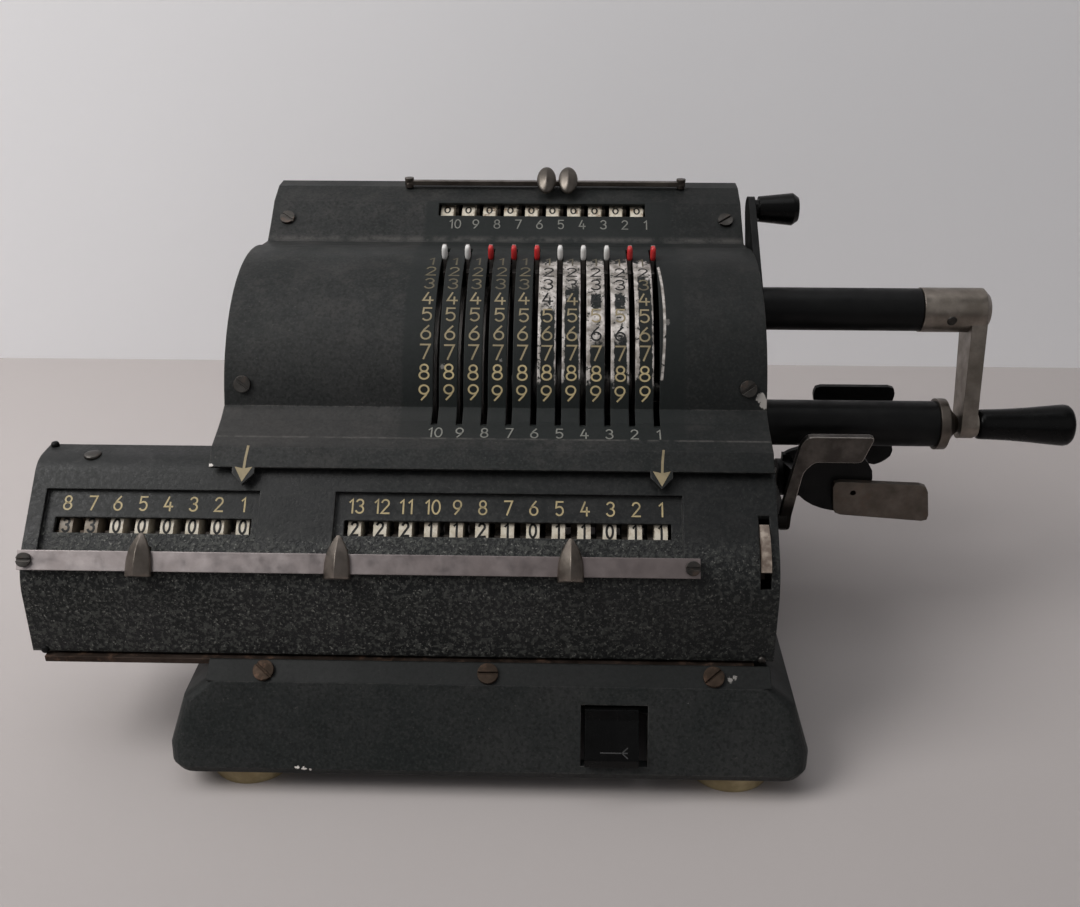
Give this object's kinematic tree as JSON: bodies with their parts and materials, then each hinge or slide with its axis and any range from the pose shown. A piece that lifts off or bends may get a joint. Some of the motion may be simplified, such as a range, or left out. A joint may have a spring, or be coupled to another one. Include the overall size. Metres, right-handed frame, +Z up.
{
  "type": "pinwheel calculator",
  "caption": "Hand-cranked mechanical calculator with setting levers, a sliding register carriage, check dials and clearing levers.",
  "frame": {"origin": "centre of the rectangle of the four foot recesses, in the plane of the feet's undersides", "axes": "+X to the operator's right, +Y to the back, +Z up"},
  "size_m": [0.3433, 0.1751, 0.1566],
  "materials": {
    "dark_paint": "dark grey-green satin paint",
    "wrinkle_paint": "dark wrinkle paint",
    "black_paint": "black paint",
    "black_plastic": "gloss black",
    "rubber": "aged olive rubber",
    "bright_screw": "worn steel screw",
    "rusty_steel": "rusty steel",
    "nickel": "worn nickel plate",
    "steel": "bare steel",
    "cream_wheel": "cream enamel with black figures"
  },
  "bodies": {
    "housing": {"base": "dark_paint", "feet": "rubber", "foot_screws": "bright_screw", "side_plate_left": "black_paint", "side_plate_right": "black_paint", "upper_cover": "dark_paint", "cover_screws": "bright_screw", "base_screws": "rusty_steel", "crank_tube": "black_paint", "stop_tube": "black_paint", "stop_cap": "nickel", "dial_axle": "steel", "top_rail": "steel", "clear_lever_shaft": "steel", "carriage_guide": "steel"},
    "drum": {"drum_shaft": "steel", "pinwheels": "steel"},
    "crank": {"crank_shaft": "steel", "crank_arm": "nickel"},
    "handle": {"crank_handle": "black_plastic"},
    "setting_clear": {"setting_clear_lever": "black_paint", "setting_clear_knob": "black_plastic"},
    "carriage": {"carriage_frame": "steel", "carriage_cover": "wrinkle_paint", "decimal_bar": "steel", "bar_screws": "bright_screw", "carriage_rack": "rusty_steel"},
    "result_register": {"result_wheels": "cream_wheel"},
    "counter_register": {"counter_wheels": "cream_wheel"},
    "pointer_1": {"decimal_pointer_1": "nickel"},
    "pointer_2": {"decimal_pointer_2": "nickel"},
    "pointer_3": {"decimal_pointer_3": "nickel"},
    "upper_pointer_1": {"top_pointer_1": "nickel"},
    "upper_pointer_2": {"top_pointer_2": "nickel"},
    "back_transfer": {"back_transfer_lever": "cream_wheel"},
    "shift": {"shift_key": "black_plastic"},
    "counter_clear": {"counter_clear_lever": "nickel"},
    "result_clear": {"result_clear_lever": "black_paint", "result_clear_paddle": "steel"},
    "lever_1": {"setting_lever_1": "steel"},
    "dial_1": {"check_dial_1": "cream_wheel"},
    "lever_2": {"setting_lever_2": "steel"},
    "dial_2": {"check_dial_2": "cream_wheel"},
    "lever_3": {"setting_lever_3": "steel"},
    "dial_3": {"check_dial_3": "cream_wheel"},
    "lever_4": {"setting_lever_4": "steel"},
    "dial_4": {"check_dial_4": "cream_wheel"},
    "lever_5": {"setting_lever_5": "steel"},
    "dial_5": {"check_dial_5": "cream_wheel"},
    "lever_6": {"setting_lever_6": "steel"},
    "dial_6": {"check_dial_6": "cream_wheel"},
    "lever_7": {"setting_lever_7": "steel"},
    "dial_7": {"check_dial_7": "cream_wheel"},
    "lever_8": {"setting_lever_8": "steel"},
    "dial_8": {"check_dial_8": "cream_wheel"},
    "lever_9": {"setting_lever_9": "steel"},
    "dial_9": {"check_dial_9": "cream_wheel"},
    "lever_10": {"setting_lever_10": "steel"},
    "dial_10": {"check_dial_10": "cream_wheel"}
  },
  "joints": [
    {"name": "drum_turn", "type": "hinge", "parent": "housing", "child": "drum", "pos_m": [0, 0.028, 0.0867], "axis": [1, 0, 0], "continuous": true},
    {"name": "crank_turn", "type": "hinge", "parent": "housing", "child": "crank", "pos_m": [0, 0.028, 0.1183], "axis": [1, 0, 0], "continuous": true},
    {"name": "handle_spin", "type": "hinge", "parent": "crank", "child": "handle", "pos_m": [0.18, 0.01823, 0.0791], "axis": [1, 0, 0], "continuous": true},
    {"name": "setting_clear_pull", "type": "hinge", "parent": "housing", "child": "setting_clear", "pos_m": [0.088, 0.028, 0.1183], "axis": [1, 0, 0], "range_deg": [0, 60]},
    {"name": "lever_1_set", "type": "hinge", "parent": "housing", "child": "lever_1", "pos_m": [0, 0.028, 0.0867], "axis": [1, 0, 0], "range_deg": [0, 66]},
    {"name": "dial_1_turn", "type": "hinge", "parent": "housing", "child": "dial_1", "pos_m": [0, 0.07151, 0.12945], "axis": [1, 0, 0], "range_deg": [-254.3, 0]},
    {"name": "lever_2_set", "type": "hinge", "parent": "housing", "child": "lever_2", "pos_m": [0, 0.028, 0.0867], "axis": [1, 0, 0], "range_deg": [0, 66]},
    {"name": "dial_2_turn", "type": "hinge", "parent": "housing", "child": "dial_2", "pos_m": [0, 0.07151, 0.12945], "axis": [1, 0, 0], "range_deg": [-254.3, 0]},
    {"name": "lever_3_set", "type": "hinge", "parent": "housing", "child": "lever_3", "pos_m": [0, 0.028, 0.0867], "axis": [1, 0, 0], "range_deg": [0, 66]},
    {"name": "dial_3_turn", "type": "hinge", "parent": "housing", "child": "dial_3", "pos_m": [0, 0.07151, 0.12945], "axis": [1, 0, 0], "range_deg": [-254.3, 0]},
    {"name": "lever_4_set", "type": "hinge", "parent": "housing", "child": "lever_4", "pos_m": [0, 0.028, 0.0867], "axis": [1, 0, 0], "range_deg": [0, 66]},
    {"name": "dial_4_turn", "type": "hinge", "parent": "housing", "child": "dial_4", "pos_m": [0, 0.07151, 0.12945], "axis": [1, 0, 0], "range_deg": [-254.3, 0]},
    {"name": "lever_5_set", "type": "hinge", "parent": "housing", "child": "lever_5", "pos_m": [0, 0.028, 0.0867], "axis": [1, 0, 0], "range_deg": [0, 66]},
    {"name": "dial_5_turn", "type": "hinge", "parent": "housing", "child": "dial_5", "pos_m": [0, 0.07151, 0.12945], "axis": [1, 0, 0], "range_deg": [-254.3, 0]},
    {"name": "lever_6_set", "type": "hinge", "parent": "housing", "child": "lever_6", "pos_m": [0, 0.028, 0.0867], "axis": [1, 0, 0], "range_deg": [0, 66]},
    {"name": "dial_6_turn", "type": "hinge", "parent": "housing", "child": "dial_6", "pos_m": [0, 0.07151, 0.12945], "axis": [1, 0, 0], "range_deg": [-254.3, 0]},
    {"name": "lever_7_set", "type": "hinge", "parent": "housing", "child": "lever_7", "pos_m": [0, 0.028, 0.0867], "axis": [1, 0, 0], "range_deg": [0, 66]},
    {"name": "dial_7_turn", "type": "hinge", "parent": "housing", "child": "dial_7", "pos_m": [0, 0.07151, 0.12945], "axis": [1, 0, 0], "range_deg": [-254.3, 0]},
    {"name": "lever_8_set", "type": "hinge", "parent": "housing", "child": "lever_8", "pos_m": [0, 0.028, 0.0867], "axis": [1, 0, 0], "range_deg": [0, 66]},
    {"name": "dial_8_turn", "type": "hinge", "parent": "housing", "child": "dial_8", "pos_m": [0, 0.07151, 0.12945], "axis": [1, 0, 0], "range_deg": [-254.3, 0]},
    {"name": "lever_9_set", "type": "hinge", "parent": "housing", "child": "lever_9", "pos_m": [0, 0.028, 0.0867], "axis": [1, 0, 0], "range_deg": [0, 66]},
    {"name": "dial_9_turn", "type": "hinge", "parent": "housing", "child": "dial_9", "pos_m": [0, 0.07151, 0.12945], "axis": [1, 0, 0], "range_deg": [-254.3, 0]},
    {"name": "lever_10_set", "type": "hinge", "parent": "housing", "child": "lever_10", "pos_m": [0, 0.028, 0.0867], "axis": [1, 0, 0], "range_deg": [0, 66]},
    {"name": "dial_10_turn", "type": "hinge", "parent": "housing", "child": "dial_10", "pos_m": [0, 0.07151, 0.12945], "axis": [1, 0, 0], "range_deg": [-254.3, 0]},
    {"name": "carriage_shift", "type": "slide", "parent": "housing", "child": "carriage", "axis": [1, 0, 0], "range_m": [0, 0.0546]},
    {"name": "result_turn", "type": "hinge", "parent": "carriage", "child": "result_register", "pos_m": [0, -0.04492, 0.06719], "axis": [1, 0, 0], "continuous": true},
    {"name": "counter_turn", "type": "hinge", "parent": "carriage", "child": "counter_register", "pos_m": [-0.1, -0.04492, 0.06719], "axis": [1, 0, 0], "continuous": true},
    {"name": "pointer_1_slide", "type": "slide", "parent": "carriage", "child": "pointer_1", "axis": [1, 0, 0], "range_m": [-0.025, 0.025]},
    {"name": "pointer_2_slide", "type": "slide", "parent": "carriage", "child": "pointer_2", "axis": [1, 0, 0], "range_m": [-0.02, 0.03]},
    {"name": "pointer_3_slide", "type": "slide", "parent": "carriage", "child": "pointer_3", "axis": [1, 0, 0], "range_m": [-0.03, 0.03]},
    {"name": "upper_pointer_1_slide", "type": "slide", "parent": "housing", "child": "upper_pointer_1", "axis": [1, 0, 0], "range_m": [-0.044, 0]},
    {"name": "upper_pointer_2_slide", "type": "slide", "parent": "housing", "child": "upper_pointer_2", "axis": [1, 0, 0], "range_m": [0, 0.035]},
    {"name": "back_transfer_pull", "type": "hinge", "parent": "carriage", "child": "back_transfer", "pos_m": [0.083, -0.0442, 0.0562], "axis": [1, 0, 0], "range_deg": [0, 12]},
    {"name": "shift_key_press", "type": "slide", "parent": "housing", "child": "shift", "axis": [1, 0, 0], "range_m": [0, 0.0016], "stiffness_N_per_m": 150, "springref_m": -0.002},
    {"name": "counter_clear_pull", "type": "hinge", "parent": "housing", "child": "counter_clear", "pos_m": [0.099, 0.033, 0.0492], "axis": [1, 0, 0], "range_deg": [0, 20], "stiffness_Nm_per_rad": 0.06, "springref_deg": -20.05},
    {"name": "result_clear_press", "type": "hinge", "parent": "housing", "child": "result_clear", "pos_m": [0.106, 0.033, 0.0492], "axis": [1, 0, 0], "range_deg": [0, 14], "stiffness_Nm_per_rad": 0.09, "springref_deg": -25.78}
  ],
  "couplings": [
    {"joint": "crank_turn", "follows": "drum_turn", "ratio": -1},
    {"joint": "dial_1_turn", "follows": "lever_1_set", "ratio": -3.8383},
    {"joint": "dial_2_turn", "follows": "lever_2_set", "ratio": -3.8383},
    {"joint": "dial_3_turn", "follows": "lever_3_set", "ratio": -3.8383},
    {"joint": "dial_4_turn", "follows": "lever_4_set", "ratio": -3.8383},
    {"joint": "dial_5_turn", "follows": "lever_5_set", "ratio": -3.8383},
    {"joint": "dial_6_turn", "follows": "lever_6_set", "ratio": -3.8383},
    {"joint": "dial_7_turn", "follows": "lever_7_set", "ratio": -3.8383},
    {"joint": "dial_8_turn", "follows": "lever_8_set", "ratio": -3.8383},
    {"joint": "dial_9_turn", "follows": "lever_9_set", "ratio": -3.8383},
    {"joint": "dial_10_turn", "follows": "lever_10_set", "ratio": -3.8383}
  ]
}
